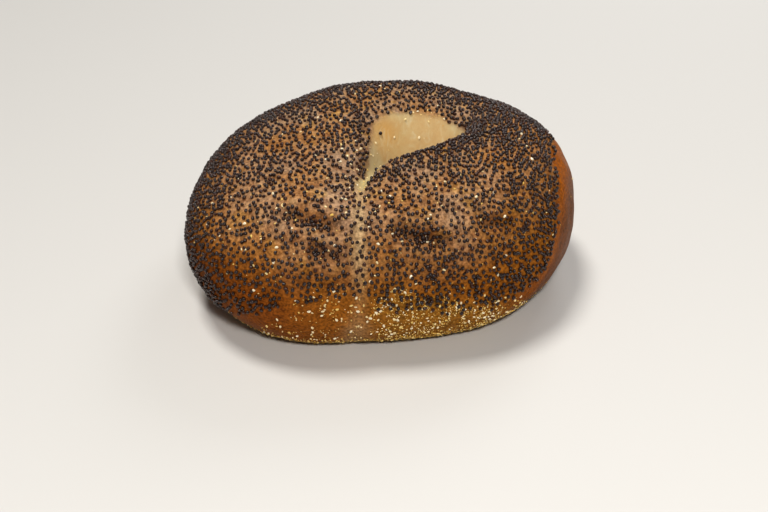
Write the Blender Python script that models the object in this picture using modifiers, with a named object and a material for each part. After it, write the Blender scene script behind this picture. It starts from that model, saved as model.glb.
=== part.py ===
"""A hand-rolled bagel: one rope of dough whose ends meet in a seam at the front.

The rope closes into a ring round a hollow that sits right of the middle. The ring's section is
made of four arcs that change as they go round: a plump side, a high crown, an inner wall that
slopes down to a narrow hole, and a flat foot. Units are metres, +Z is up, -Y is the front, and the
origin is the middle of the foot's bounding box.
"""

import math

import bmesh
import bpy
from mathutils import Vector

# Driving dimensions of the whole bagel
LENGTH = 0.112
DEPTH = 0.104
HEIGHT = 0.047

# Round the ring, every eighth of a turn from +X: the outline's reach from the middle, the crown's
# height as a share of the whole, how far the crown lies from the hole as a share of the way to the
# outside, and how sharply the inner wall turns down from it
OUTLINE_REACH = (0.0560, 0.0555, 0.0525, 0.0525, 0.0560, 0.0620, 0.0505, 0.0530)
CROWN_SHARES = (0.975, 0.930, 0.975, 1.000, 0.965, 0.940, 0.920, 0.940)
CROWN_PLACES = (0.34, 0.36, 0.40, 0.33, 0.23, 0.22, 0.27, 0.32)
WALL_POWERS = (3.0, 2.1, 1.7, 1.8, 2.6, 3.0, 3.6, 3.6)

# The narrow hole: a slot at the waist of the inner wall
HOLE_CENTRE = Vector((0.0085, -0.0085))
HOLE_HALF_LENGTH = 0.0110
HOLE_HALF_WIDTH = 0.0045
HOLE_LEAN = math.radians(40.0)
HOLE_HEIGHT = 0.50

# The section, as shares of the height and of the way from the hole to the outside
WIDEST_HEIGHT = 0.46
FOOT_SHARE = 0.55
FOOT_SINK = 0.045
SIDE_POWER = 2.0
BASE_POWER = 2.5
UNDER_WALL_POWER = 2.2

# The seam where the rope's ends were pressed together, a valley down the front
SEAM_X = -0.0062
SEAM_HALF_WIDTH = 0.0042
SEAM_DEPTH = 0.0012
SEAM_TAIL_DEPTH = 0.0045
SEAM_TAIL_Y = -0.0240
SEAM_TAIL_LENGTH = 0.0080

# The mesh cage, before one level of subdivision
CAGE_AROUND = 36
CAGE_SECTION = 20
SMOOTH_LEVELS = 1

CRUST_COLOUR = (0.50, 0.26, 0.085, 1.0)
CRUST_ROUGHNESS = 0.55


def superellipse(angle, power):
    """The point of a unit superellipse in the given direction."""
    across = math.cos(angle)
    along = math.sin(angle)
    reach = (abs(across) ** power + abs(along) ** power) ** (-1.0 / power)
    return across * reach, along * reach


def turned(x, y, angle):
    """A plan point turned about the origin."""
    return Vector(
        (
            x * math.cos(angle) - y * math.sin(angle),
            x * math.sin(angle) + y * math.cos(angle),
        )
    )


def round_the_ring(values, around):
    """A smooth curve through values that are evenly spaced round the ring."""
    place = around / math.tau * len(values)
    index = math.floor(place)
    part_way = place - index
    before, start, end, after = (values[(index + step) % len(values)] for step in (-1, 0, 1, 2))
    linear = end - before
    square = 2.0 * before - 5.0 * start + 4.0 * end - after
    cube = 3.0 * start - before - 3.0 * end + after
    return start + 0.5 * part_way * (linear + part_way * (square + part_way * cube))


def outside_point(around):
    """The bagel's outline from above, in the direction around."""
    reach = round_the_ring(OUTLINE_REACH, around)
    return Vector((reach * math.cos(around), reach * math.sin(around)))


def hole_point(around):
    """The waist of the hole, in the direction around."""
    lean = around - HOLE_LEAN
    slot = turned(HOLE_HALF_LENGTH * math.cos(lean), HOLE_HALF_WIDTH * math.sin(lean), HOLE_LEAN)
    return HOLE_CENTRE + slot


def bell(distance, half_width):
    """A smooth bump of height 1 that has faded out at about twice its half width."""
    return math.exp(-((distance / half_width) ** 2))


def section_point(around, turn):
    """A point of the rope's section: turn 0 is the outside, a quarter turn is the crown."""
    upper = math.sin(turn) >= 0.0
    outer = math.cos(turn) >= 0.0
    if upper and outer:
        power = SIDE_POWER
    elif upper:
        power = round_the_ring(WALL_POWERS, around)
    elif outer:
        power = BASE_POWER
    else:
        power = UNDER_WALL_POWER
    across, along = superellipse(turn, power)
    middle_share = round_the_ring(CROWN_PLACES, around) if upper else FOOT_SHARE
    reach = 1.0 - middle_share if outer else middle_share
    share = middle_share + across * reach
    waist = WIDEST_HEIGHT if outer else HOLE_HEIGHT
    crown = round_the_ring(CROWN_SHARES, around)
    if upper:
        height = waist + along * (crown - waist)
    else:
        height = waist + along * (waist + FOOT_SINK)
    plan = hole_point(around).lerp(outside_point(around), share)
    return Vector((plan.x, plan.y, max(0.0, height) * HEIGHT))


def seam_depth(point):
    """How far the seam's valley sinks the crust at a point."""
    if point.y > SEAM_TAIL_Y + SEAM_TAIL_LENGTH or point.z <= 0.0:
        return 0.0
    across = bell(point.x - SEAM_X, SEAM_HALF_WIDTH)
    tail = SEAM_TAIL_DEPTH * bell(point.y - SEAM_TAIL_Y, SEAM_TAIL_LENGTH)
    start = min(1.0, max(0.0, (SEAM_TAIL_Y + SEAM_TAIL_LENGTH - point.y) / SEAM_TAIL_LENGTH))
    return across * (tail + SEAM_DEPTH) * start


def remove_all_objects():
    """Start from an empty scene."""
    for item in list(bpy.data.objects):
        bpy.data.objects.remove(item, do_unlink=True)


def crust_material():
    """The baked crust's plain colour and finish."""
    material = bpy.data.materials.new("crust")
    material.use_nodes = True
    shader = material.node_tree.nodes["Principled BSDF"]
    shader.inputs["Base Color"].default_value = CRUST_COLOUR
    shader.inputs["Roughness"].default_value = CRUST_ROUGHNESS
    shader.inputs["Metallic"].default_value = 0.0
    return material


def shape_rope(mesh):
    """Move a plain torus's vertices onto the rope's sections, then press in the seam."""
    cage = bmesh.new()
    cage.from_mesh(mesh)
    for vertex in cage.verts:
        around = math.atan2(vertex.co.y, vertex.co.x)
        turn = math.atan2(vertex.co.z, math.hypot(vertex.co.x, vertex.co.y) - LENGTH / 4.0)
        vertex.co = section_point(around, turn)
    cage.normal_update()
    moves = [(vertex, vertex.normal * seam_depth(vertex.co)) for vertex in cage.verts]
    for vertex, move in moves:
        vertex.co -= move
    cage.to_mesh(mesh)
    cage.free()


def fit_to_size(item):
    """Scale the smoothed shape to the driving dimensions and stand it on the origin."""
    depsgraph = bpy.context.evaluated_depsgraph_get()
    smooth = item.evaluated_get(depsgraph).to_mesh()
    lows = [min(vertex.co[axis] for vertex in smooth.vertices) for axis in range(3)]
    highs = [max(vertex.co[axis] for vertex in smooth.vertices) for axis in range(3)]
    middle = ((lows[0] + highs[0]) / 2.0, (lows[1] + highs[1]) / 2.0, lows[2])
    wanted = (LENGTH, DEPTH, HEIGHT)
    scales = [wanted[axis] / (highs[axis] - lows[axis]) for axis in range(3)]
    for vertex in item.data.vertices:
        for axis in range(3):
            vertex.co[axis] = (vertex.co[axis] - middle[axis]) * scales[axis]
    item.data.update()


def build_bagel(collection):
    """The whole loaf, one closed ring of crust."""
    bpy.ops.mesh.primitive_torus_add(
        major_segments=CAGE_AROUND,
        minor_segments=CAGE_SECTION,
        major_radius=LENGTH / 4.0,
        minor_radius=LENGTH / 8.0,
    )
    bagel = bpy.context.object
    bagel.name = "bagel"
    bagel.data.name = "bagel"
    for owner in list(bagel.users_collection):
        owner.objects.unlink(bagel)
    collection.objects.link(bagel)
    shape_rope(bagel.data)
    smooth = bagel.modifiers.new("smooth", "SUBSURF")
    smooth.levels = SMOOTH_LEVELS
    smooth.render_levels = SMOOTH_LEVELS
    fit_to_size(bagel)
    bagel.data.materials.append(crust_material())
    bagel.data.shade_smooth()
    return bagel


remove_all_objects()
bagel_collection = bpy.data.collections.new("bagel")
bpy.context.scene.collection.children.link(bagel_collection)
build_bagel(bagel_collection)
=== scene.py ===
"""A poppy-seed bagel: a ring of baked dough, its poppy seeds and its dusting of cornmeal.

Lengths are metres, +Z is up and -Y is the front, where the dough's ends were pressed together.
"""

import math

import bmesh
import bpy
import numpy as np
from mathutils import Matrix, Vector, noise


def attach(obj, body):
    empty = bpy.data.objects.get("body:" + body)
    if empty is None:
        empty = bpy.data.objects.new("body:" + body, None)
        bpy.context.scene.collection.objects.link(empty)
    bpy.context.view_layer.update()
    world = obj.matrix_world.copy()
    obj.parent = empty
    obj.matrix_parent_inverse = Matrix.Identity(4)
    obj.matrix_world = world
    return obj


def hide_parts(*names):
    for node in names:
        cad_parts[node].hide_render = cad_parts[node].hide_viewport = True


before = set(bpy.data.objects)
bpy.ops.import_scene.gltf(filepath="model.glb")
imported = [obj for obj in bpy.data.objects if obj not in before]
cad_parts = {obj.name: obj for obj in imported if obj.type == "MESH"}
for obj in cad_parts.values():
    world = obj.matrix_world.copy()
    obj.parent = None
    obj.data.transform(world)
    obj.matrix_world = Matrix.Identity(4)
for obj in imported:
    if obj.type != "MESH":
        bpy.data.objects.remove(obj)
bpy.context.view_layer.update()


# The baked dough. A rope of wheat dough is rolled, joined at the front, proofed, boiled and baked.
# Boiling sets a thin tight skin that browns at the sides; the wall of the hollow and the seam were
# pressed together while it rose, so they stay pale and smooth.

MM = 0.001

# How finely the plain solid is divided, how far its skin sinks to leave room for the seeds, how far
# the foot stands off the floor, and the heights between which the skin begins to move
SKIN_LEVELS = 2
WELD_DISTANCE = 0.01 * MM
SEED_ROOM = 0.45 * MM
FOOT_HEIGHT = 0.25 * MM
FOOT_FADE = (0.3 * MM, 6.0 * MM)

# The skin's soft unevenness, which the stretched wall of the hollow has less of
SWELL_HEIGHT = 0.70 * MM
SWELL_WIDTH = 18.0 * MM
DIMPLE_HEIGHT = 0.34 * MM
DIMPLE_WIDTH = 7.0 * MM
RIPPLE_HEIGHT = 0.13 * MM
RIPPLE_WIDTH = 3.0 * MM
HOLLOW_SMOOTHNESS = 0.5
HOLLOW_SMOOTH_EDGE = (-2.0 * MM, 3.0 * MM)
MOST_LIFT = 0.1 * MM

# The pale wall of the hollow, seen from above, in millimetres
HOLLOW_EDGE = (
    (-7.0, -29.0),
    (-6.8, -23.5),
    (-4.8, -19.5),
    (-3.6, -11.5),
    (-3.3, -6.0),
    (-2.5, 2.5),
    (0.5, 8.0),
    (5.0, 10.8),
    (10.5, 11.8),
    (16.5, 10.5),
    (20.7, 7.0),
    (22.8, 2.0),
    (23.0, -5.5),
    (18.5, -9.5),
    (14.5, -14.0),
    (9.5, -18.0),
    (4.0, -20.0),
    (-1.0, -22.5),
    (-3.6, -26.0),
    (-5.0, -29.0),
)

# The valley that leads from the seam into the hollow: plan place and floor height, in millimetres.
# Its sides rise with the square of the distance, and it fades out down in the hollow
VALLEY = (
    (-5.8, -37.0, 39.6),
    (-5.9, -32.0, 40.0),
    (-5.6, -26.0, 39.2),
    (-4.2, -20.0, 38.2),
    (-1.5, -14.0, 36.0),
)
VALLEY_RISE = 0.45
VALLEY_BLEND = 0.5 * MM
VALLEY_FADE = (26.0 * MM, 31.0 * MM)
LARGEST_POWER = 30.0

# The plump near lip: place and how far it is raised there, in millimetres. The rise dies away
# round it, and leans back a little
LIP = (
    (-1.0, -24.5, 42.0, 0.8),
    (4.5, -22.8, 43.3, 2.0),
    (10.0, -20.8, 43.5, 3.1),
    (15.0, -16.8, 43.5, 3.0),
    (19.0, -12.0, 43.5, 2.0),
    (24.0, -8.0, 45.0, 0.6),
)
LIP_REACH = 5.0 * MM
LIP_LEAN = 0.2

# The seam runs down the front, and drifts left near the foot
SEAM_X = -6.0 * MM
SEAM_DRIFT = -2.0 * MM
SEAM_DRIFT_HEIGHT = 20.0 * MM
SEAM_WANDER = 0.7 * MM
SEAM_WANDER_LENGTH = 7.0 * MM
SEAM_WANDER_SCALE = (0.0, 0.5, 1.0)
SEAM_START_Y = -24.0 * MM
SEAM_START_LENGTH = 6.0 * MM
SEAM_HALF_WIDTH = 1.1 * MM
SEAM_DEPTH = 0.65 * MM

# Creases where the skin folded as the bagel rose: two ends, half width and depth in millimetres.
# Each wanders a little, and has a puffed edge sized as shares of its half width and depth
CREASES = (
    ((-24.5, -40.0, 39.0), (-13.0, -43.5, 37.5), 1.8, 1.9),
    ((-17.5, -48.5, 32.5), (-12.0, -49.0, 31.0), 1.6, 1.4),
    ((4.0, -44.0, 35.5), (15.0, -44.5, 33.0), 1.9, 2.1),
    ((26.5, -39.0, 36.0), (32.5, -36.5, 34.0), 1.6, 1.5),
)
FOLD_WANDER = (0.0, 0.4, 1.0)
FOLD_WANDER_LENGTH = 5.0 * MM
PUFF_PLACE = 2.2
PUFF_WIDTH = 1.4
PUFF_HEIGHT = 0.25

# The lowest height that the seeds reach, round the bagel: degrees from +X, height in millimetres
SEED_EDGE = (
    (-180, 8.0),
    (-142, 7.5),
    (-128, 12.0),
    (-118, 17.0),
    (-108, 20.0),
    (-96, 20.0),
    (-86, 15.5),
    (-68, 13.5),
    (-54, 10.5),
    (-44, 11.5),
    (-36, 15.0),
    (-31, 21.0),
    (-25, 31.0),
    (-12, 38.0),
    (10, 38.5),
    (45, 32.0),
    (90, 23.0),
    (140, 16.0),
    (180, 8.0),
)

# How far up the side the board's meal clings: degrees from +X, height in millimetres
MEAL_EDGE = (
    (-180, 2.0),
    (-130, 3.0),
    (-116, 14.0),
    (-108, 22.0),
    (-86, 21.0),
    (-70, 17.0),
    (-56, 12.0),
    (-46, 8.0),
    (-36, 5.0),
    (-25, 4.0),
    (0, 2.5),
    (180, 2.0),
)


def fade(low, high, values):
    """0 below low, 1 above high, and a smooth rise between."""
    part = np.clip((values - low) / (high - low), 0.0, 1.0)
    return part * part * (3.0 - 2.0 * part)


def lumps(points, size, number):
    """Smooth noise from -1 to 1 at each point, in lumps about as wide as size."""
    away = Vector((7.3, 3.1, 5.7)) * number
    return np.array([noise.noise(Vector(point) / size + away) for point in points])


def distance_to_line(points, start, end):
    """How far each point is from a straight line between two points."""
    along = end - start
    share = np.clip((points - start) @ along / (along @ along), 0.0, 1.0)
    return np.linalg.norm(points - start - share[:, None] * along, axis=1)


def distance_inside(points, outline):
    """How far inside a closed outline in plan each point is, negative outside it."""
    nearest = np.full(len(points), np.inf)
    inside = np.zeros(len(points), bool)
    plan = points[:, :2]
    for start, end in zip(outline, np.roll(outline, -1, axis=0)):
        nearest = np.minimum(nearest, distance_to_line(plan, start, end))
        crosses = (start[1] > plan[:, 1]) != (end[1] > plan[:, 1])
        rise = end[1] - start[1] if end[1] != start[1] else 1.0
        meets = start[0] + (plan[:, 1] - start[1]) * (end[0] - start[0]) / rise
        inside ^= crosses & (plan[:, 0] < meets)
    return np.where(inside, nearest, -nearest)


def around_bagel(points):
    """Each point's direction from the middle, in degrees from +X."""
    return np.degrees(np.arctan2(points[:, 1], points[:, 0]))


def seam_distance(points):
    """How far each point on the front is from the middle of the seam."""
    drop = np.clip(1.0 - points[:, 2] / SEAM_DRIFT_HEIGHT, 0.0, 1.0)
    wander = SEAM_WANDER * lumps(points * np.array(SEAM_WANDER_SCALE), SEAM_WANDER_LENGTH, 1)
    return np.abs(points[:, 0] - SEAM_X - SEAM_DRIFT * drop - wander)


def mesh_arrays(mesh):
    """A mesh's points and its normals."""
    points = np.empty(len(mesh.vertices) * 3)
    normals = np.empty(len(mesh.vertices) * 3)
    mesh.vertices.foreach_get("co", points)
    mesh.vertex_normals.foreach_get("vector", normals)
    return points.reshape(-1, 3), normals.reshape(-1, 3)


def smooth_dough(node):
    """A merged and finely divided copy of the plain solid."""
    rough = bmesh.new()
    rough.from_mesh(node.data)
    bmesh.ops.remove_doubles(rough, verts=rough.verts, dist=WELD_DISTANCE)
    bmesh.ops.join_triangles(
        rough,
        faces=rough.faces,
        angle_face_threshold=math.pi,
        angle_shape_threshold=math.pi,
    )
    mesh = bpy.data.meshes.new("crust")
    rough.to_mesh(mesh)
    rough.free()
    shape = bpy.data.objects.new("crust", mesh)
    bpy.context.scene.collection.objects.link(shape)
    smooth = shape.modifiers.new("smooth", "SUBSURF")
    smooth.levels = SKIN_LEVELS
    smooth.render_levels = SKIN_LEVELS
    depsgraph = bpy.context.evaluated_depsgraph_get()
    shape.data = bpy.data.meshes.new_from_object(shape.evaluated_get(depsgraph))
    shape.modifiers.clear()
    shape.data.name = "crust"
    return shape


def press_valley(points):
    """Press a smooth valley from the seam down into the hollow."""
    limit = np.full(len(points), np.inf)
    steps = np.array(VALLEY) * MM
    for start, end in zip(steps[:-1], steps[1:]):
        along = end[:2] - start[:2]
        share = np.clip((points[:, :2] - start[:2]) @ along / (along @ along), 0.0, 1.0)
        away = np.linalg.norm(points[:, :2] - start[:2] - share[:, None] * along, axis=1)
        floor_height = start[2] + share * (end[2] - start[2])
        limit = np.minimum(limit, floor_height + VALLEY_RISE * away * away / MM)
    over = np.clip((points[:, 2] - limit) / VALLEY_BLEND, -LARGEST_POWER, LARGEST_POWER)
    pressed = points.copy()
    pressed[:, 2] -= VALLEY_BLEND * np.logaddexp(0.0, over)
    upper = fade(*VALLEY_FADE, points[:, 2])[:, None]
    return points + (pressed - points) * upper


def raise_lip(points):
    """Swell the near lip of the hollow upwards and a little back over it."""
    crest = np.array(LIP) * MM
    nearest = np.full(len(points), np.inf)
    rise = np.zeros(len(points))
    for start, end in zip(crest[:-1], crest[1:]):
        along = end[:3] - start[:3]
        share = np.clip((points - start[:3]) @ along / (along @ along), 0.0, 1.0)
        away = np.linalg.norm(points - start[:3] - share[:, None] * along, axis=1)
        closer = away < nearest
        nearest[closer] = away[closer]
        rise[closer] = (start[3] + share * (end[3] - start[3]))[closer]
    rise *= np.exp(-((nearest / LIP_REACH) ** 2))
    return points + rise[:, None] * np.array([0.0, LIP_LEAN, 1.0])


def raise_and_fold(points, normals):
    """Move the skin: room for the seeds, soft unevenness, the seam and the creases."""
    hollow = fade(*HOLLOW_SMOOTH_EDGE, distance_inside(points, hollow_outline))
    above_foot = fade(*FOOT_FADE, points[:, 2])
    lift = -SEED_ROOM * above_foot
    lift += SWELL_HEIGHT * lumps(points, SWELL_WIDTH, 2) * above_foot
    lift += DIMPLE_HEIGHT * lumps(points, DIMPLE_WIDTH, 3) * above_foot
    ripples = RIPPLE_HEIGHT * lumps(points, RIPPLE_WIDTH, 4) * above_foot
    lift += ripples * (1.0 - HOLLOW_SMOOTHNESS * hollow)
    front = fade(-SEAM_START_Y, -SEAM_START_Y + SEAM_START_LENGTH, -points[:, 1])
    valley = np.exp(-((seam_distance(points) / SEAM_HALF_WIDTH) ** 2))
    lift -= SEAM_DEPTH * valley * front * above_foot
    for start, end, half_width, depth in CREASES:
        wander = lumps(points, FOLD_WANDER_LENGTH, 5)[:, None] * np.array(FOLD_WANDER) * MM
        away = distance_to_line(points + wander, np.array(start) * MM, np.array(end) * MM)
        fold = np.exp(-((away / (half_width * MM)) ** 2))
        beside = away - PUFF_PLACE * half_width * MM
        puff = np.exp(-((beside / (PUFF_WIDTH * half_width * MM)) ** 2))
        lift += (PUFF_HEIGHT * depth * puff - depth * fold) * MM
    lift = np.minimum(lift, MOST_LIFT)
    moved = press_valley(raise_lip(points + normals * lift[:, None]))
    moved[:, 2] = np.maximum(moved[:, 2], FOOT_HEIGHT)
    return moved


def paint(mesh, name, values):
    """Keep one number for each point of a mesh, for its material to read."""
    mask = mesh.attributes.new(name, "FLOAT", "POINT")
    mask.data.foreach_set("value", values.astype(np.float32))


hollow_outline = np.array(HOLLOW_EDGE) * MM
crust = smooth_dough(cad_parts["bagel"])
rest_points, rest_normals = mesh_arrays(crust.data)
crust.data.vertices.foreach_set("co", raise_and_fold(rest_points, rest_normals).ravel())
crust.data.update()
crust.data.shade_smooth()
skin_points, skin_normals = mesh_arrays(crust.data)
skin_around = around_bagel(skin_points)

# Edges of the seeded skin and of the pale wall: how far they wander, in what lumps, how softly
SEED_EDGE_WANDER = 1.3 * MM
SEED_EDGE_LUMPS = 5.0 * MM
SEED_EDGE_BLEND = 1.5 * MM
HOLLOW_EDGE_WANDER = 1.1 * MM
HOLLOW_EDGE_LUMPS = 3.6 * MM
HOLLOW_EDGE_BLEND = 1.0 * MM
HOLLOW_LOWEST = (10.0 * MM, 16.0 * MM)

# The pale seam: widths in millimetres, heights of its foot and top, and how pale it is there
SEAM_PALE_START = 4.0 * MM
SEAM_PALE_WIDTH = 1.7
SEAM_PALE_WANDER = 0.9
SEAM_PALE_LUMPS = 4.0 * MM
SEAM_FOOT_WIDENING = 2.2
SEAM_PALE_SOFTNESS = 1.7
SEAM_FOOT_HEIGHTS = (8.0 * MM, 16.0 * MM)
SEAM_TOP_HEIGHTS = (16.0 * MM, 34.0 * MM)
SEAM_PALENESS = 0.22
SEAM_TOP_PALENESS = 0.60
SEAM_FOOT_PALENESS = 0.22

# Amber skin: how much everywhere, low down, at the back, at the front, and at the right and left
LOW_SIDE = (6.0 * MM, 40.0 * MM)
FRONT_REACH = (-20.0 * MM, 40.0 * MM)
AMBER_LEAST = 0.2
AMBER_LOW = 1.2
AMBER_BACK = 0.4
AMBER_FRONT = 0.6
AMBER_RIGHT = 0.45
AMBER_RIGHT_REACH = (12.0 * MM, 48.0 * MM)
AMBER_LEFT = 0.30
AMBER_LEFT_REACH = (18.0 * MM, 50.0 * MM)

# Painted shade: darker brown skin on the steep sides, where they turn away from the light above,
# most of all on the left
STEEP_SIDE = (0.10, 0.75)
SIDE_SHADE_LEAST = 0.30
SIDE_SHADE_LEFT = 0.60
SIDE_SHADE_LEFT_REACH = (5.0 * MM, 45.0 * MM)
SIDE_SHADE_HIGH = 0.5
SIDE_SHADE_MOST = 0.9

# Bare russet skin on the right, in degrees from +X, and how far below the seeds it stays orange
RUSSET_START = (-62.0, -30.0)
RUSSET_END = (75.0, 120.0)
ORANGE_BAND = (2.0 * MM, 11.0 * MM)

# The honey patch, and the greenish painted shade at the foot of the hollow's wall under the near
# lip: places and reaches in millimetres, and how strong they are
HONEY_PLACE = (-0.5, 3.0, 40.0)
HONEY_REACH = 7.0
HONEY_SHARE = 0.75
GREENISH_START = (-6.0, -26.0, 40.0)
GREENISH_END = (14.0, -8.0, 30.0)
GREENISH_REACH = 11.0
GREENISH_SHARE = 0.42

# The dusting of meal: how its edge wanders and fades, and how much lies left and right of the seam
MEAL_EDGE_WANDER = 2.5 * MM
MEAL_EDGE_LUMPS = 5.0 * MM
MEAL_EDGE_FADE = (-3.0 * MM, 2.0 * MM)
MEAL_LEFT = 0.13
MEAL_RIGHT_MORE = 0.87
MEAL_RIGHT_REACH = (-8.0 * MM, 4.0 * MM)
DUST_SHARE = 0.45

# How dark the painted shade in the creases is, and how wide it is as a share of their half width
CREASE_SHADE_DARKNESS = 0.62
CREASE_SHADE_WIDTH = 1.5


def soft_patch(points, middle, reach):
    """1 at a place and fading out round it; place and reach are in millimetres."""
    away = np.linalg.norm(points - np.array(middle) * MM, axis=1)
    return np.exp(-((away / (reach * MM)) ** 2))


skin_x, skin_y, skin_z = skin_points.T
seed_edges = np.array(SEED_EDGE)
seed_floor = np.interp(skin_around, seed_edges[:, 0], seed_edges[:, 1]) * MM
height_over_seeds = skin_z - seed_floor + SEED_EDGE_WANDER * lumps(skin_points, SEED_EDGE_LUMPS, 6)
bare_skin = 1.0 - fade(-SEED_EDGE_BLEND, SEED_EDGE_BLEND, height_over_seeds)
in_hollow = distance_inside(skin_points, hollow_outline)
in_hollow = in_hollow + HOLLOW_EDGE_WANDER * lumps(skin_points, HOLLOW_EDGE_LUMPS, 7)
pale_wall = fade(-HOLLOW_EDGE_BLEND, HOLLOW_EDGE_BLEND, in_hollow) * fade(*HOLLOW_LOWEST, skin_z)

seam_front = fade(-SEAM_START_Y, -SEAM_START_Y + SEAM_PALE_START, -skin_y)
seam_foot = 1.0 - fade(*SEAM_FOOT_HEIGHTS, skin_z)
seam_width = SEAM_PALE_WIDTH + SEAM_PALE_WANDER * lumps(skin_points, SEAM_PALE_LUMPS, 8)
seam_width = (seam_width + SEAM_FOOT_WIDENING * seam_foot) * MM
off_seam = seam_distance(skin_points) / (SEAM_PALE_SOFTNESS * seam_width)
pale_seam = fade(0.0, 1.0, 1.0 - off_seam) * seam_front
seam_top = fade(*SEAM_TOP_HEIGHTS, skin_z)
pale_seam *= SEAM_PALENESS + SEAM_TOP_PALENESS * seam_top + SEAM_FOOT_PALENESS * seam_foot

low_side = 1.0 - fade(*LOW_SIDE, skin_z)
front = fade(*FRONT_REACH, -skin_y)
amber = np.clip(AMBER_LEAST + AMBER_LOW * low_side, 0.0, 1.0) * (AMBER_BACK + AMBER_FRONT * front)
amber += AMBER_RIGHT * fade(*AMBER_RIGHT_REACH, skin_x)
amber += AMBER_LEFT * fade(*AMBER_LEFT_REACH, -skin_x)
amber = np.clip(amber, 0.0, 1.0)
# Painted shade on the steep sides, most of all on the left and low down
steep = 1.0 - fade(*STEEP_SIDE, skin_normals[:, 2])
leftward = fade(*SIDE_SHADE_LEFT_REACH, -skin_x)
steep_side_shade = (SIDE_SHADE_LEAST + SIDE_SHADE_LEFT * leftward) * steep * (SIDE_SHADE_HIGH + low_side)
steep_side_shade = np.clip(steep_side_shade, 0.0, SIDE_SHADE_MOST)
russet = fade(*RUSSET_START, skin_around) * (1.0 - fade(*RUSSET_END, skin_around)) * bare_skin
orange = russet * (1.0 - fade(*ORANGE_BAND, -height_over_seeds))

warm_wall = HONEY_SHARE * soft_patch(skin_points, HONEY_PLACE, HONEY_REACH)
# Painted shade, tinted greenish, on the low wall of the hollow under the near lip
low_wall_start = np.array(GREENISH_START) * MM
low_wall_end = np.array(GREENISH_END) * MM
off_low_wall = distance_to_line(skin_points, low_wall_start, low_wall_end)
greenish_lip_shade = GREENISH_SHARE * fade(0.0, 1.0, 1.0 - off_low_wall / (GREENISH_REACH * MM))

meal_edges = np.array(MEAL_EDGE)
meal_top = np.interp(skin_around, meal_edges[:, 0], meal_edges[:, 1]) * MM
below_top = meal_top - skin_z + MEAL_EDGE_WANDER * lumps(skin_points, MEAL_EDGE_LUMPS, 12)
under_meal = fade(*MEAL_EDGE_FADE, below_top)
rightward = MEAL_LEFT + MEAL_RIGHT_MORE * fade(*MEAL_RIGHT_REACH, skin_x)
dusty = DUST_SHARE * under_meal * rightward * (1.0 - russet)

# Painted shade: the skin is darkened along each crease, where shade falls in the fold
painted_crease_shade = np.zeros(len(skin_points))
for start, end, half_width, _ in CREASES:
    away = distance_to_line(skin_points, np.array(start) * MM, np.array(end) * MM)
    fold_shade = np.exp(-((away / (CREASE_SHADE_WIDTH * half_width * MM)) ** 2))
    painted_crease_shade = np.maximum(painted_crease_shade, CREASE_SHADE_DARKNESS * fold_shade)

for mask_name, mask_values in (
    ("painted_crease_shade", painted_crease_shade),
    ("pale_wall", pale_wall),
    ("pale_seam", pale_seam),
    ("amber", amber),
    ("steep_side_shade", steep_side_shade),
    ("bare_skin", bare_skin),
    ("russet", russet),
    ("greenish_lip_shade", greenish_lip_shade),
    ("orange", orange),
    ("warm_wall", warm_wall),
    ("dusty", dusty),
):
    paint(crust.data, mask_name, mask_values)


def put(tree, kind, inputs=(), **settings):
    """A node with its settings and its inputs; each input is a value or an output to link."""
    node = tree.nodes.new("ShaderNode" + kind)
    for name, value in settings.items():
        setattr(node, name, value)
    for name, value in dict(inputs).items():
        if isinstance(value, bpy.types.NodeSocket):
            tree.links.new(value, node.inputs[name])
        else:
            node.inputs[name].default_value = value
    return node


def blend_colours(tree, share, below, above, kind="MIX"):
    """Two colours mixed by a share from 0 to 1."""
    node = put(tree, "Mix", {0: share}, data_type="RGBA", blend_type=kind)
    for index, value in ((6, below), (7, above)):
        if isinstance(value, bpy.types.NodeSocket):
            tree.links.new(value, node.inputs[index])
        else:
            node.inputs[index].default_value = value
    return node.outputs[2]


def stretch(tree, value, low, high, to_low=0.0, to_high=1.0):
    """A value between low and high spread over a new range, and clamped to it."""
    inputs = {"Value": value, "From Min": low, "From Max": high, "To Min": to_low, "To Max": to_high}
    return put(tree, "MapRange", inputs).outputs["Result"]


def mask_of(tree, name):
    """The number painted on the mesh under a name."""
    return put(tree, "Attribute", attribute_name=name).outputs["Fac"]


def soft_noise(tree, place, per_metre, detail, roughness, distortion=0.0):
    """Smooth noise at a place, from 0 to 1."""
    inputs = {"Vector": place, "Scale": per_metre, "Detail": detail, "Roughness": roughness}
    return put(tree, "TexNoise", {**inputs, "Distortion": distortion}).outputs["Fac"]


def new_group(name, inputs, outputs):
    """An empty node group with named number inputs and outputs."""
    tree = bpy.data.node_groups.new(name, "ShaderNodeTree")
    for label, value in inputs:
        socket = tree.interface.new_socket(label, in_out="INPUT", socket_type="NodeSocketFloat")
        socket.default_value = value
    for label in outputs:
        tree.interface.new_socket(label, in_out="OUTPUT", socket_type="NodeSocketFloat")
    return tree, tree.nodes.new("NodeGroupInput"), tree.nodes.new("NodeGroupOutput")


# Detail and roughness of the grain's soft noise, how much its pits count beside that, and the
# middle of the two together
FINE_NOISE = (4.0, 0.6)
FINE_PIT_SHARE = 0.5
FINE_MIDDLE = 0.72


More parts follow.
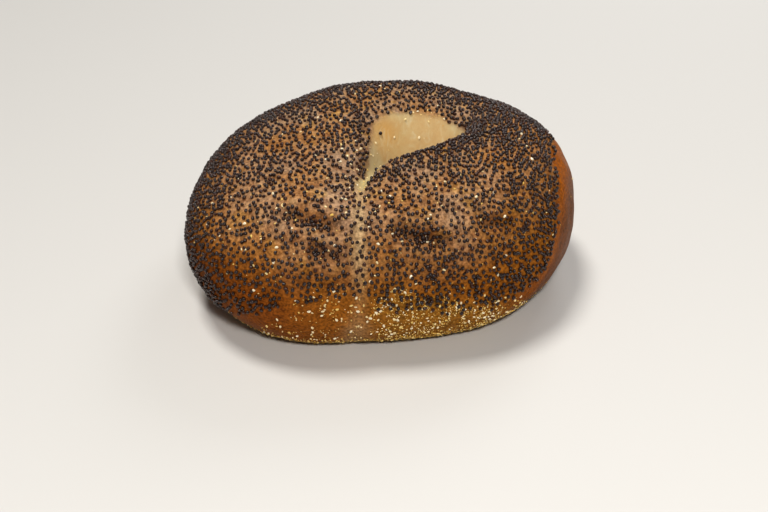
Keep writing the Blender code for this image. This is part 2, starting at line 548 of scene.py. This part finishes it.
def make_grain_group():
    """Fine irregular grain in object space: a mask for colour and a height for bump."""
    inputs = (("Lumps per metre", 1000.0), ("Contrast", 1.0))
    tree, given, result = new_group("fine_grain", inputs, ("Mask", "Height"))
    place = put(tree, "TexCoord").outputs["Object"]
    coarse = soft_noise(tree, place, given.outputs[0], *FINE_NOISE)
    pits = put(
        tree,
        "TexVoronoi",
        {"Vector": place, "Scale": given.outputs[0], "Randomness": 1.0},
        feature="SMOOTH_F1",
    ).outputs["Distance"]
    shares = {0: pits, 1: FINE_PIT_SHARE, 2: coarse}
    both = put(tree, "Math", shares, operation="MULTIPLY_ADD").outputs[0]
    centred = put(tree, "Math", {0: both, 1: -FINE_MIDDLE}, operation="ADD").outputs[0]
    spread = put(tree, "Math", {0: centred, 1: given.outputs[1]}, operation="MULTIPLY").outputs[0]
    lifted = put(tree, "Math", {0: spread, 1: 0.5}, operation="ADD", use_clamp=True).outputs[0]
    tree.links.new(lifted, result.inputs["Mask"])
    tree.links.new(both, result.inputs["Height"])
    return tree


grain_group = make_grain_group()


def grain(tree, lumps_per_metre, contrast):
    """The fine grain group placed in a material."""
    node = put(tree, "Group", node_tree=grain_group)
    node.inputs["Lumps per metre"].default_value = lumps_per_metre
    node.inputs["Contrast"].default_value = contrast
    return node


def link_bump(tree, relief, strength, height):
    """Small relief on a material's surface, by bump."""
    bump = put(tree, "Bump", {"Height": relief, "Strength": strength, "Distance": height})
    tree.links.new(bump.outputs["Normal"], tree.nodes["Principled BSDF"].inputs["Normal"])


CRUST_TAN = (0.375, 0.262, 0.180, 1.0)
CRUST_GOLD = (0.365, 0.192, 0.082, 1.0)
CRUST_AMBER = (0.38, 0.150, 0.020, 1.0)
CRUST_BROWN = (0.24, 0.070, 0.010, 1.0)
CRUST_RUSSET = (0.20, 0.064, 0.012, 1.0)
CRUST_ORANGE = (0.36, 0.104, 0.003, 1.0)
CRUST_DUSTY = (0.30, 0.165, 0.030, 1.0)
CRUST_HONEY = (0.54, 0.30, 0.09, 1.0)
CRUST_YELLOW = (0.50, 0.28, 0.045, 1.0)
CRUST_BEIGE = (0.50, 0.35, 0.19, 1.0)
CRUST_WARM_CREAM = (0.52, 0.36, 0.175, 1.0)
CRUST_CREAM = (0.53, 0.43, 0.24, 1.0)
CRUST_GREENISH = (0.34, 0.29, 0.12, 1.0)
CRUST_PALEST = (0.60, 0.53, 0.35, 1.0)
CRUST_SCORCH_AND_CREASE_SHADE = (0.13, 0.038, 0.007, 1.0)

# The skin's noise: lumps per metre, levels of detail, roughness; the grain's is lumps and contrast
CLOUDS = (70.0, 4.0, 0.6)
PATCHES = (190.0, 3.0, 0.55)
MOTTLE = (340.0, 5.0, 0.65)
WRINKLES = (800.0, 5.0, 0.65)
CRUST_GRAIN = (1500.0, 2.0)

# Stretch marks: turn, lumps per metre each way, and the noise in them with its distortion
STREAK_TURN = (0.35, 0.0, 0.75)
STREAKS_PER_METRE = (620.0, 190.0, 400.0)
STREAKS = (1.0, 5.0, 0.65, 0.7)

# Tints of the skin, then of the hollow's wall: the two noise values between which a tint changes,
# and its shares there; the last brightens the skin
GOLD_TINT = (0.40, 0.60, 0.0, 1.0)
YELLOW_TINT = (0.56, 0.70, 0.0, 0.50)
BEIGE_TINT = (0.46, 0.30, 0.0, 0.50)
SCORCH_TINT = (0.50, 0.70, 0.0, 0.65)
WARM_TINT = (0.42, 0.60, 0.0, 1.0)
DARK_STREAK_TINT = (0.50, 0.70, 0.0, 0.20)
PALE_STREAK_TINT = (0.48, 0.32, 0.0, 0.40)
FLECK_TINT = (0.1, 0.9, 0.58, 1.36)

SEEDED_ROUGHNESS = 0.55
BARE_ROUGHNESS = 0.38
HOLLOW_EXTRA_ROUGHNESS = 0.2
CRUST_IOR = 1.12
CRUST_BUMP_STRENGTH = 0.8
CRUST_BUMP_HEIGHT = 0.35 * MM
GRAIN_RELIEF = 0.5
STREAK_RELIEF = 0.7


def make_streaks(tree, place):
    """Stretch marks across the wall of the hollow, from its far rim to its near lip."""
    inputs = {"Vector": place, "Rotation": STREAK_TURN, "Scale": STREAKS_PER_METRE}
    turned = put(tree, "Mapping", inputs).outputs["Vector"]
    return soft_noise(tree, turned, *STREAKS)


def make_crust_material():
    """Baked skin: tan above, amber at the sides, pale where it was pressed, with painted shade on
    the steep sides and creases.
    """
    material = bpy.data.materials.new("baked_crust")
    material.use_nodes = True
    tree = material.node_tree
    shader = tree.nodes["Principled BSDF"]
    place = put(tree, "TexCoord").outputs["Object"]

    clouds = soft_noise(tree, place, *CLOUDS)
    patches = soft_noise(tree, place, *PATCHES)
    mottle = soft_noise(tree, place, *MOTTLE)
    wrinkles = soft_noise(tree, place, *WRINKLES)
    streaks = make_streaks(tree, place)
    fine = grain(tree, *CRUST_GRAIN)

    skin = blend_colours(tree, stretch(tree, clouds, *GOLD_TINT), CRUST_TAN, CRUST_GOLD)
    skin = blend_colours(tree, stretch(tree, patches, *YELLOW_TINT), skin, CRUST_YELLOW)
    skin = blend_colours(tree, stretch(tree, mottle, *BEIGE_TINT), skin, CRUST_BEIGE)
    skin = blend_colours(tree, mask_of(tree, "amber"), skin, CRUST_AMBER)
    # Painted shade: darker brown on the steep sides
    skin = blend_colours(tree, mask_of(tree, "steep_side_shade"), skin, CRUST_BROWN)
    skin = blend_colours(tree, mask_of(tree, "russet"), skin, CRUST_RUSSET)
    skin = blend_colours(tree, mask_of(tree, "orange"), skin, CRUST_ORANGE)
    skin = blend_colours(tree, stretch(tree, mottle, *SCORCH_TINT), skin, CRUST_SCORCH_AND_CREASE_SHADE)
    skin = blend_colours(tree, mask_of(tree, "dusty"), skin, CRUST_DUSTY)
    skin = blend_colours(tree, mask_of(tree, "pale_seam"), skin, CRUST_BEIGE)
    # Painted shade in the creases; the same dark colour also serves the random scorched mottle above
    skin = blend_colours(tree, mask_of(tree, "painted_crease_shade"), skin, CRUST_SCORCH_AND_CREASE_SHADE)

    wall = blend_colours(tree, stretch(tree, clouds, *WARM_TINT), CRUST_CREAM, CRUST_WARM_CREAM)
    # Painted shade, tinted greenish, under the near lip
    wall = blend_colours(tree, mask_of(tree, "greenish_lip_shade"), wall, CRUST_GREENISH)
    wall = blend_colours(tree, mask_of(tree, "warm_wall"), wall, CRUST_HONEY)
    wall = blend_colours(tree, stretch(tree, streaks, *DARK_STREAK_TINT), wall, CRUST_GOLD)
    wall = blend_colours(tree, stretch(tree, streaks, *PALE_STREAK_TINT), wall, CRUST_PALEST)

    flecks = stretch(tree, fine.outputs["Mask"], *FLECK_TINT)
    skin = put(tree, "VectorMath", {0: skin, "Scale": flecks}, operation="SCALE").outputs[0]
    skin = blend_colours(tree, mask_of(tree, "pale_wall"), skin, wall)
    tree.links.new(skin, shader.inputs["Base Color"])

    bare = mask_of(tree, "bare_skin")
    shine = stretch(tree, bare, 0.0, 1.0, SEEDED_ROUGHNESS, BARE_ROUGHNESS)
    dull = stretch(tree, mask_of(tree, "pale_wall"), 0.0, 1.0, 0.0, HOLLOW_EXTRA_ROUGHNESS)
    rough = put(tree, "Math", {0: shine, 1: dull}, operation="ADD").outputs[0]
    tree.links.new(rough, shader.inputs["Roughness"])

    folds = {0: fine.outputs["Height"], 1: GRAIN_RELIEF, 2: wrinkles}
    folds = put(tree, "Math", folds, operation="MULTIPLY_ADD").outputs[0]
    drawn = put(tree, "Math", {0: streaks, 1: STREAK_RELIEF}, operation="MULTIPLY").outputs[0]
    relief = {0: mask_of(tree, "pale_wall"), 2: folds, 3: drawn}
    relief = put(tree, "Mix", relief, data_type="FLOAT").outputs[0]
    link_bump(tree, relief, CRUST_BUMP_STRENGTH, CRUST_BUMP_HEIGHT)
    shader.inputs["IOR"].default_value = CRUST_IOR
    return material


crust.data.materials.clear()
crust.data.materials.append(make_crust_material())
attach(crust, "root")
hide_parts("bagel")


# The poppy seeds. Kidney-shaped, about a millimetre long and near black, they stick to the wet
# boiled skin when the bagel is pressed into a tray of them. They crowd the rims and the lip of the
# hollow, thin out at the seam, and stop short of the foot and the right side.

SEED_LENGTH = 1.14 * MM
SEED_WIDTH = 0.99 * MM
SEED_HEIGHT = 0.90 * MM
SEED_BEND = 0.10 * MM
SEED_SEGMENTS = 8
SEED_RINGS = 5
SEED_SIZES = (0.86, 1.12)
SEED_TILT = 0.35
SEED_SINK = 0.12 * MM
SEED_SINK_CHANGES = (-0.10, 0.12)
SEEDS_PER_PIECE = 2900

# Seeds land at random, and each keeps its own gap from the others, wider where seeds are thin
SEED_TRIES = 21000
SEED_SPACING = 0.90 * MM
SEED_GAPS = (0.9, 1.2)
THIN_GAP = 1.25
THICK_GAP_LESS = 0.30

# How thickly seeds lie: the usual share, the change in broad drifts and in clumps, and the limits
SEED_COVER = 0.36
DRIFT_CHANGE = 0.20
DRIFT_WIDTH = 7.0 * MM
CLUMP_CHANGE = 0.24
CLUMP_WIDTH = 2.6 * MM
COVER_LIMITS = (0.05, 2.2)

# Where seeds stop: at the seam, at the lower edge, at the hollow's wall, and near the foot
SEAM_CLEARING = 1.1
SEAM_CLEARING_MOST = 0.95
SEEDED_EDGE = (-1.2 * MM, 2.2 * MM)
SEEDED_HOLLOW_EDGE = (-1.4 * MM, -0.2 * MM)
LOWEST_SEED = 4.0 * MM
STRAY_SEEDS = 0.010

# Thick and thin stretches of seeds: middle and reach in millimetres, and how many more or fewer
SEED_PATCHES = (
    ((30.0, 0.0, 42.0), 16.0, 0.75),
    ((36.0, -22.0, 36.0), 12.0, 0.45),
    ((-2.0, -26.5, 42.0), 3.0, 1.0),
    ((4.5, -24.8, 44.5), 3.4, 1.6),
    ((9.5, -22.6, 46.0), 3.6, 1.7),
    ((14.5, -18.8, 46.0), 3.6, 1.7),
    ((19.0, -14.0, 45.5), 4.0, 1.5),
    ((26.0, -9.0, 45.5), 5.0, 1.0),
    ((-8.5, -5.0, 43.0), 5.0, 0.50),
    ((-8.0, 4.0, 45.0), 5.0, 0.45),
    ((-50.0, -8.0, 26.0), 20.0, 0.55),
    ((0.0, 47.0, 34.0), 26.0, 0.10),
    ((37.0, 30.0, 34.0), 20.0, 0.40),
    ((-32.0, 38.0, 34.0), 22.0, 0.12),
    ((-19.0, -41.5, 38.0), 5.0, 0.45),
    ((10.0, -44.0, 34.5), 5.0, 0.45),
    ((30.0, -38.0, 35.0), 3.5, 0.50),
    ((-14.0, -48.5, 31.5), 4.0, 0.40),
    ((-12.0, -31.0, 41.5), 6.0, -0.20),
    ((10.0, -47.0, 26.0), 9.0, 0.30),
    ((34.0, -34.0, 24.0), 12.0, 0.30),
    ((-12.0, -44.0, 36.0), 4.0, -0.20),
    ((-30.0, -25.0, 42.0), 12.0, -0.08),
)

CHANCE_START = 11
chance = np.random.default_rng(CHANCE_START)


def make_seed():
    """One poppy seed on its side: a squashed ball bent into a kidney."""
    seed = bmesh.new()
    bmesh.ops.create_uvsphere(seed, u_segments=SEED_SEGMENTS, v_segments=SEED_RINGS, radius=0.5)
    bmesh.ops.rotate(seed, verts=seed.verts, matrix=Matrix.Rotation(math.pi / 2.0, 3, "Y"))
    bmesh.ops.scale(seed, verts=seed.verts, vec=(SEED_LENGTH, SEED_WIDTH, SEED_HEIGHT))
    for vertex in seed.verts:
        share = 2.0 * vertex.co.x / SEED_LENGTH
        vertex.co.y += SEED_BEND * (share * share - 0.5)
    mesh = bpy.data.meshes.new("seed")
    seed.to_mesh(mesh)
    seed.free()
    mesh.attributes.new("tone", "FLOAT", "POINT")
    return mesh


def random_places(points, normals, faces, weights, count):
    """Random points on a mesh's faces, more where the weights are greater, with their normals."""
    corners = points[faces]
    sides = np.cross(corners[:, 1] - corners[:, 0], corners[:, 2] - corners[:, 0])
    share = np.linalg.norm(sides, axis=1) * weights[faces].mean(axis=1)
    picked = chance.choice(len(faces), size=count, p=share / share.sum())
    first = np.sqrt(chance.random(count))
    second = chance.random(count)
    mix = np.stack([1.0 - first, first * (1.0 - second), first * second], axis=1)[:, :, None]
    place = (points[faces[picked]] * mix).sum(axis=1)
    facing = (normals[faces[picked]] * mix).sum(axis=1)
    value = (weights[faces[picked]] * mix[:, :, 0]).sum(axis=1)
    return place, facing / np.linalg.norm(facing, axis=1)[:, None], value


def spaced(places, spacing):
    """Which places to keep, so that each stays its own spacing from those kept before it."""
    cell = float(spacing.max())
    kept = []
    grid = {}
    for index, place in enumerate(places):
        home = tuple((place // cell).astype(int))
        near = []
        for step_x in (-1, 0, 1):
            for step_y in (-1, 0, 1):
                for step_z in (-1, 0, 1):
                    near += grid.get((home[0] + step_x, home[1] + step_y, home[2] + step_z), ())
        if near and np.linalg.norm(places[near] - place, axis=1).min() < spacing[index]:
            continue
        grid.setdefault(home, []).append(index)
        kept.append(index)
    return np.array(kept)


def standing_on(normal, spin, tilt):
    """A turn that lays a piece on a surface, spun about its normal and tilted a little."""
    up = Vector(normal).to_track_quat("Z", "Y").to_matrix().to_4x4()
    return up @ Matrix.Rotation(spin, 4, "Z") @ Matrix.Rotation(tilt, 4, "X")


def scatter(name, model, places, normals, tones, sizes, sinks, tilt):
    """Copies of a small model set on a surface and joined into one mesh."""
    joined = bmesh.new()
    for place, normal, tone, size, sink in zip(places, normals, tones, sizes, sinks):
        turn = standing_on(normal, chance.uniform(0.0, math.tau), chance.normal(0.0, tilt))
        spot = Matrix.Translation(Vector(place) - Vector(normal) * sink)
        copy = model.copy()
        copy.transform(spot @ turn @ Matrix.Diagonal((size, size, size, 1.0)))
        tone_data = copy.attributes["tone"].data
        tone_data.foreach_set("value", np.full(len(copy.vertices), tone, np.float32))
        joined.from_mesh(copy)
        bpy.data.meshes.remove(copy)
    for vertex in joined.verts:
        vertex.co.z = max(vertex.co.z, 0.0)
    mesh = bpy.data.meshes.new(name)
    joined.to_mesh(mesh)
    joined.free()
    mesh.shade_smooth()
    piece = bpy.data.objects.new(name, mesh)
    bpy.context.scene.collection.objects.link(piece)
    return piece


def seed_thickness(points):
    """How thickly seeds lie at each point of the skin, as a share of a plain cover."""
    thickness = SEED_COVER + DRIFT_CHANGE * lumps(points, DRIFT_WIDTH, 9)
    thickness = thickness + CLUMP_CHANGE * lumps(points, CLUMP_WIDTH, 10)
    for middle, reach, more in SEED_PATCHES:
        thickness += more * soft_patch(points, middle, reach)
    return np.clip(thickness, *COVER_LIMITS)


triangles = np.empty(len(crust.data.loop_triangles) * 3, np.int32)
crust.data.loop_triangles.foreach_get("vertices", triangles)
triangles = triangles.reshape(-1, 3)

thickness = seed_thickness(skin_points)
thickness *= 1.0 - np.clip(SEAM_CLEARING * pale_seam, 0.0, SEAM_CLEARING_MOST)
seeded = fade(*SEEDED_EDGE, height_over_seeds) * (1.0 - fade(*SEEDED_HOLLOW_EDGE, in_hollow))
seeded[skin_z < LOWEST_SEED] = 0.0
seeded = np.maximum(seeded, STRAY_SEEDS * pale_wall)
seed_share = seeded * thickness

seed_places, seed_normals, seed_value = random_places(
    skin_points, skin_normals, triangles, seed_share, SEED_TRIES
)
seed_gaps = SEED_SPACING * chance.uniform(*SEED_GAPS, len(seed_places))
seed_gaps *= THIN_GAP - THICK_GAP_LESS * np.clip(seed_value, 0.0, 1.0)
kept_seeds = spaced(seed_places, seed_gaps)

SEED_BLUE = (0.030, 0.022, 0.026, 1.0)
SEED_BLACK = (0.012, 0.005, 0.004, 1.0)
SEED_BROWN = (0.050, 0.014, 0.006, 1.0)
SEED_BLOOM = (0.120, 0.085, 0.085, 1.0)
SEED_GLINT = (1.0, 0.80, 0.66, 1.0)
SEED_PITS_PER_METRE = 5200.0
SEED_PIT_CONTRAST = 2.2
BLOOM_TINT = (0.60, 1.0, 0.0, 0.7)
SEED_ROUGHNESS = 0.42
SEED_IOR = 1.36
SEED_OIL = 0.60
SEED_OIL_ROUGHNESS = 0.10
SEED_BUMP_STRENGTH = 0.7
SEED_BUMP_HEIGHT = 0.10 * MM


def make_seed_material():
    """Brown to blue-black seed coat with fine pits, a greyish bloom and a trace of oil."""
    material = bpy.data.materials.new("poppy_seed")
    material.use_nodes = True
    tree = material.node_tree
    shader = tree.nodes["Principled BSDF"]
    tone = mask_of(tree, "tone")
    pits = grain(tree, SEED_PITS_PER_METRE, SEED_PIT_CONTRAST)
    coat = blend_colours(tree, stretch(tree, tone, 0.0, 0.50), SEED_BROWN, SEED_BLACK)
    coat = blend_colours(tree, stretch(tree, tone, 0.50, 1.0), coat, SEED_BLUE)
    bloom = stretch(tree, pits.outputs["Mask"], *BLOOM_TINT)
    coat = blend_colours(tree, bloom, coat, SEED_BLOOM)
    tree.links.new(coat, shader.inputs["Base Color"])
    shader.inputs["Roughness"].default_value = SEED_ROUGHNESS
    shader.inputs["Specular Tint"].default_value = SEED_GLINT
    shader.inputs["IOR"].default_value = SEED_IOR
    shader.inputs["Coat Weight"].default_value = SEED_OIL
    shader.inputs["Coat Roughness"].default_value = SEED_OIL_ROUGHNESS
    link_bump(tree, pits.outputs["Height"], SEED_BUMP_STRENGTH, SEED_BUMP_HEIGHT)
    return material


seed_model = make_seed()
seed_material = make_seed_material()
for number, start in enumerate(range(0, len(kept_seeds), SEEDS_PER_PIECE)):
    batch = kept_seeds[start : start + SEEDS_PER_PIECE]
    seeds = scatter(
        f"poppy_seeds_{number + 1}",
        seed_model,
        seed_places[batch],
        seed_normals[batch],
        chance.random(len(batch)),
        chance.uniform(*SEED_SIZES, len(batch)),
        SEED_SINK - SEED_HEIGHT / 2.0 + chance.uniform(*SEED_SINK_CHANGES, len(batch)) * MM,
        SEED_TILT,
    )
    seeds.data.materials.append(seed_material)
    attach(seeds, "root")
bpy.data.meshes.remove(seed_model)


# The cornmeal. Coarse gold and cream grit dusted on the board keeps the raw dough from sticking,
# and clings to the foot and the lower front, with a few grains knocked on to the seeds.

# A grain's length, its width and height as shares of that, and how irregular it is
GRAIN_SIZE = 1.02 * MM
GRAIN_WIDTH = 0.66
GRAIN_HEIGHT = 0.5
GRAIN_CHIPPING = 0.28
GRAIN_CHIPS = 3.7
GRAIN_TILT = 0.6
GRAIN_LIFT = 0.12
GRAINS_PER_PIECE = 6000

# Sizes run from the smallest share up, with more small than large
SMALLEST_GRAIN = 0.34
GRAIN_SIZE_RANGE = 0.86
GRAIN_SIZE_POWER = 2.0
GRAIN_TRIES = 36000
GRAIN_SPACING = 0.75

# How thickly meal lies: on the dusted side in clumps, in a fringe at the foot, and as strays
DUSTED_SHARE = 0.72
MEAL_CLUMP_SHARE = 0.45
MEAL_CLUMP_CHANGE = 1.3
MEAL_CLUMP_WIDTH = 3.0 * MM
FRINGE_HEIGHTS = (0.5 * MM, 5.0 * MM)
STRAYS_IN_FRONT = 0.009
STRAY_FRONT = (20.0 * MM, 40.0 * MM)
STRAY_FRONT_HEIGHTS = (16.0 * MM, 22.0 * MM)
STRAYS_ON_TOP = 0.003
STRAY_TOP_HEIGHTS = (20.0 * MM, 30.0 * MM)
SEAM_MEAL_LESS = 0.4
BARE_SIDE_MEAL_LESS = 0.8
LEAST_MEAL = 1e-6

# Stray grains on the hollow's far wall, at the top of the seam and left of the hollow: middle and
# reach in millimetres, and how thickly they lie
MEAL_SPOTS = (
    ((13.0, 9.5, 41.0), 3.5, 0.05),
    ((-6.0, -26.0, 40.5), 4.0, 0.08),
    ((-8.0, -12.0, 43.0), 8.0, 0.03),
)


def make_grain_model():
    """One angular grain of cracked maize."""
    cracked = bmesh.new()
    bmesh.ops.create_icosphere(cracked, subdivisions=1, radius=0.5)
    for vertex in cracked.verts:
        vertex.co *= 1.0 + GRAIN_CHIPPING * noise.noise(vertex.co * GRAIN_CHIPS)
    size = (GRAIN_SIZE, GRAIN_SIZE * GRAIN_WIDTH, GRAIN_SIZE * GRAIN_HEIGHT)
    bmesh.ops.scale(cracked, verts=cracked.verts, vec=size)
    mesh = bpy.data.meshes.new("grain")
    cracked.to_mesh(mesh)
    cracked.free()
    mesh.attributes.new("tone", "FLOAT", "POINT")
    return mesh


fringe = (1.0 - fade(*FRINGE_HEIGHTS, skin_z)) * under_meal
clumps = MEAL_CLUMP_SHARE + MEAL_CLUMP_CHANGE * lumps(skin_points, MEAL_CLUMP_WIDTH, 13)
clumps = np.clip(clumps, 0.0, 1.0)
meal_share = DUSTED_SHARE * under_meal * clumps * rightward + fringe
high_front = fade(*STRAY_FRONT, -skin_y) * fade(*STRAY_FRONT_HEIGHTS, skin_z)
meal_share += STRAYS_IN_FRONT * high_front + STRAYS_ON_TOP * fade(*STRAY_TOP_HEIGHTS, skin_z)
meal_share *= (1.0 - SEAM_MEAL_LESS * pale_seam) * (1.0 - BARE_SIDE_MEAL_LESS * russet)
for middle, reach, more in MEAL_SPOTS:
    meal_share += more * soft_patch(skin_points, middle, reach)

meal_places, meal_normals, _ = random_places(
    skin_points, skin_normals, triangles, meal_share + LEAST_MEAL, GRAIN_TRIES
)
size_draws = chance.random(len(meal_places)) ** GRAIN_SIZE_POWER
meal_sizes = SMALLEST_GRAIN + GRAIN_SIZE_RANGE * size_draws
meal_gaps = GRAIN_SPACING * GRAIN_SIZE * meal_sizes
kept_grains = spaced(meal_places, meal_gaps)

# A grain's tone runs from gold at 0 to cream at 1; larger grains are paler, those at the foot not
TONE_MIDDLE = 0.08
TONE_SPREAD = 0.24
TONE_OF_SIZE = 0.75
FOOT_TONE_LESS = 0.45
FOOT_TONE_HEIGHT = 4.0 * MM
tone_draws = chance.normal(TONE_MIDDLE, TONE_SPREAD, len(meal_places))
meal_tones = np.clip(tone_draws + meal_sizes * TONE_OF_SIZE, 0.0, 1.0)
meal_tones *= 1.0 - FOOT_TONE_LESS * (meal_places[:, 2] < FOOT_TONE_HEIGHT)

MEAL_GOLD = (0.66, 0.36, 0.04, 1.0)
MEAL_YELLOW = (0.90, 0.66, 0.22, 1.0)
MEAL_CREAM = (1.0, 0.90, 0.66, 1.0)
GRIT_PER_METRE = 4000.0
GRIT_CONTRAST = 1.5
GRIT_TINT = (0.2, 0.9, 0.8, 1.1)
MEAL_ROUGHNESS = 0.30
MEAL_BUMP_STRENGTH = 0.4
MEAL_BUMP_HEIGHT = 0.05 * MM


def make_meal_material():
    """Hard maize grit: gold, yellow and cream, with a slight gleam."""
    material = bpy.data.materials.new("cornmeal")
    material.use_nodes = True
    tree = material.node_tree
    shader = tree.nodes["Principled BSDF"]
    tone = mask_of(tree, "tone")
    grit = grain(tree, GRIT_PER_METRE, GRIT_CONTRAST)
    meal = blend_colours(tree, stretch(tree, tone, 0.0, 0.5), MEAL_GOLD, MEAL_YELLOW)
    meal = blend_colours(tree, stretch(tree, tone, 0.5, 1.0), meal, MEAL_CREAM)
    shade = stretch(tree, grit.outputs["Mask"], *GRIT_TINT)
    meal = put(tree, "VectorMath", {0: meal, "Scale": shade}, operation="SCALE").outputs[0]
    tree.links.new(meal, shader.inputs["Base Color"])
    shader.inputs["Roughness"].default_value = MEAL_ROUGHNESS
    link_bump(tree, grit.outputs["Height"], MEAL_BUMP_STRENGTH, MEAL_BUMP_HEIGHT)
    return material


grain_model = make_grain_model()
meal_material = make_meal_material()
for number, start in enumerate(range(0, len(kept_grains), GRAINS_PER_PIECE)):
    batch = kept_grains[start : start + GRAINS_PER_PIECE]
    meal = scatter(
        f"cornmeal_{number + 1}",
        grain_model,
        meal_places[batch],
        meal_normals[batch],
        meal_tones[batch],
        meal_sizes[batch],
        -GRAIN_LIFT * GRAIN_SIZE * meal_sizes[batch],
        GRAIN_TILT,
    )
    meal.data.shade_flat()
    meal.data.materials.append(meal_material)
    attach(meal, "root")
bpy.data.meshes.remove(grain_model)


# The studio. A wide pale floor, a soft sun high above and a little behind and to the left, a lamp in
# front and a weaker one behind on the right, and a camera that looks down on the front.

FLOOR_HALF_SIZE = 3.0
FLOOR_COLOUR = (0.62, 0.61, 0.59, 1.0)
FLOOR_ROUGHNESS = 0.8

KEY_FROM = Vector((-0.13, 0.12, 0.58))
KEY_STRENGTH = 1.8
KEY_SOFTNESS = math.radians(16.0)
KEY_COLOUR = (1.0, 0.97, 0.92)

# The lamps: name, place, size, power and colour
LAMPS = (
    ("front_lamp", (0.06, -0.44, 0.46), 0.10, 2.1, (1.0, 0.97, 0.94)),
    ("back_lamp", (0.25, 0.50, 0.45), 0.30, 1.1, (0.97, 0.98, 1.0)),
)
LAMP_AIM = Vector((0.0, 0.0, 0.02))

# The sky's strength as light, and as the camera sees it
SKY_COLOUR = (1.0, 0.99, 0.97, 1.0)
SKY_LIGHT = 0.11
SKY_LOOK = 0.45

CAMERA_ELEVATION = math.radians(32.0)
CAMERA_AIM = Vector((0.0001, -0.0102, 0.0073))
CAMERA_DISTANCE = 0.3350
CAMERA_LENS = 53.9
CAMERA_CLIP_START = 0.01

floor_mesh = bpy.data.meshes.new("floor")
floor_shape = bmesh.new()
bmesh.ops.create_grid(floor_shape, x_segments=1, y_segments=1, size=FLOOR_HALF_SIZE)
floor_shape.to_mesh(floor_mesh)
floor_shape.free()
floor = bpy.data.objects.new("floor", floor_mesh)
bpy.context.scene.collection.objects.link(floor)
floor_material = bpy.data.materials.new("floor")
floor_material.use_nodes = True
floor_shader = floor_material.node_tree.nodes["Principled BSDF"]
floor_shader.inputs["Base Color"].default_value = FLOOR_COLOUR
floor_shader.inputs["Roughness"].default_value = FLOOR_ROUGHNESS
floor_mesh.materials.append(floor_material)


def hang_light(light, place, aim):
    """A light set at a place and turned to face a point."""
    lamp = bpy.data.objects.new(light.name, light)
    lamp.location = place
    lamp.rotation_euler = (Vector(aim) - Vector(place)).to_track_quat("-Z", "Y").to_euler()
    bpy.context.scene.collection.objects.link(lamp)


for lamp_name, lamp_place, lamp_size, lamp_power, lamp_colour in LAMPS:
    lamp_light = bpy.data.lights.new(lamp_name, "AREA")
    lamp_light.size = lamp_size
    lamp_light.energy = lamp_power
    lamp_light.color = lamp_colour
    hang_light(lamp_light, lamp_place, LAMP_AIM)

key_light = bpy.data.lights.new("key_light", "SUN")
key_light.energy = KEY_STRENGTH
key_light.angle = KEY_SOFTNESS
key_light.color = KEY_COLOUR
hang_light(key_light, KEY_FROM, Vector((0.0, 0.0, 0.0)))

world = bpy.data.worlds.new("studio")
world.use_nodes = True
backdrop = world.node_tree.nodes["Background"]
backdrop.inputs["Color"].default_value = SKY_COLOUR
seen = put(world.node_tree, "LightPath").outputs["Is Camera Ray"]
strength = stretch(world.node_tree, seen, 0.0, 1.0, SKY_LIGHT, SKY_LOOK)
world.node_tree.links.new(strength, backdrop.inputs["Strength"])
bpy.context.scene.world = world
bpy.context.scene.view_settings.view_transform = "Standard"
bpy.context.scene.view_settings.look = "Medium High Contrast"

camera = bpy.data.objects.new("camera", bpy.data.cameras.new("camera"))
camera.data.lens = CAMERA_LENS
camera.data.clip_start = CAMERA_CLIP_START
back = Vector((0.0, -math.cos(CAMERA_ELEVATION), math.sin(CAMERA_ELEVATION)))
camera.location = CAMERA_AIM + back * CAMERA_DISTANCE
camera.rotation_euler = (math.pi / 2.0 - CAMERA_ELEVATION, 0.0, 0.0)
bpy.context.scene.collection.objects.link(camera)
bpy.context.scene.camera = camera
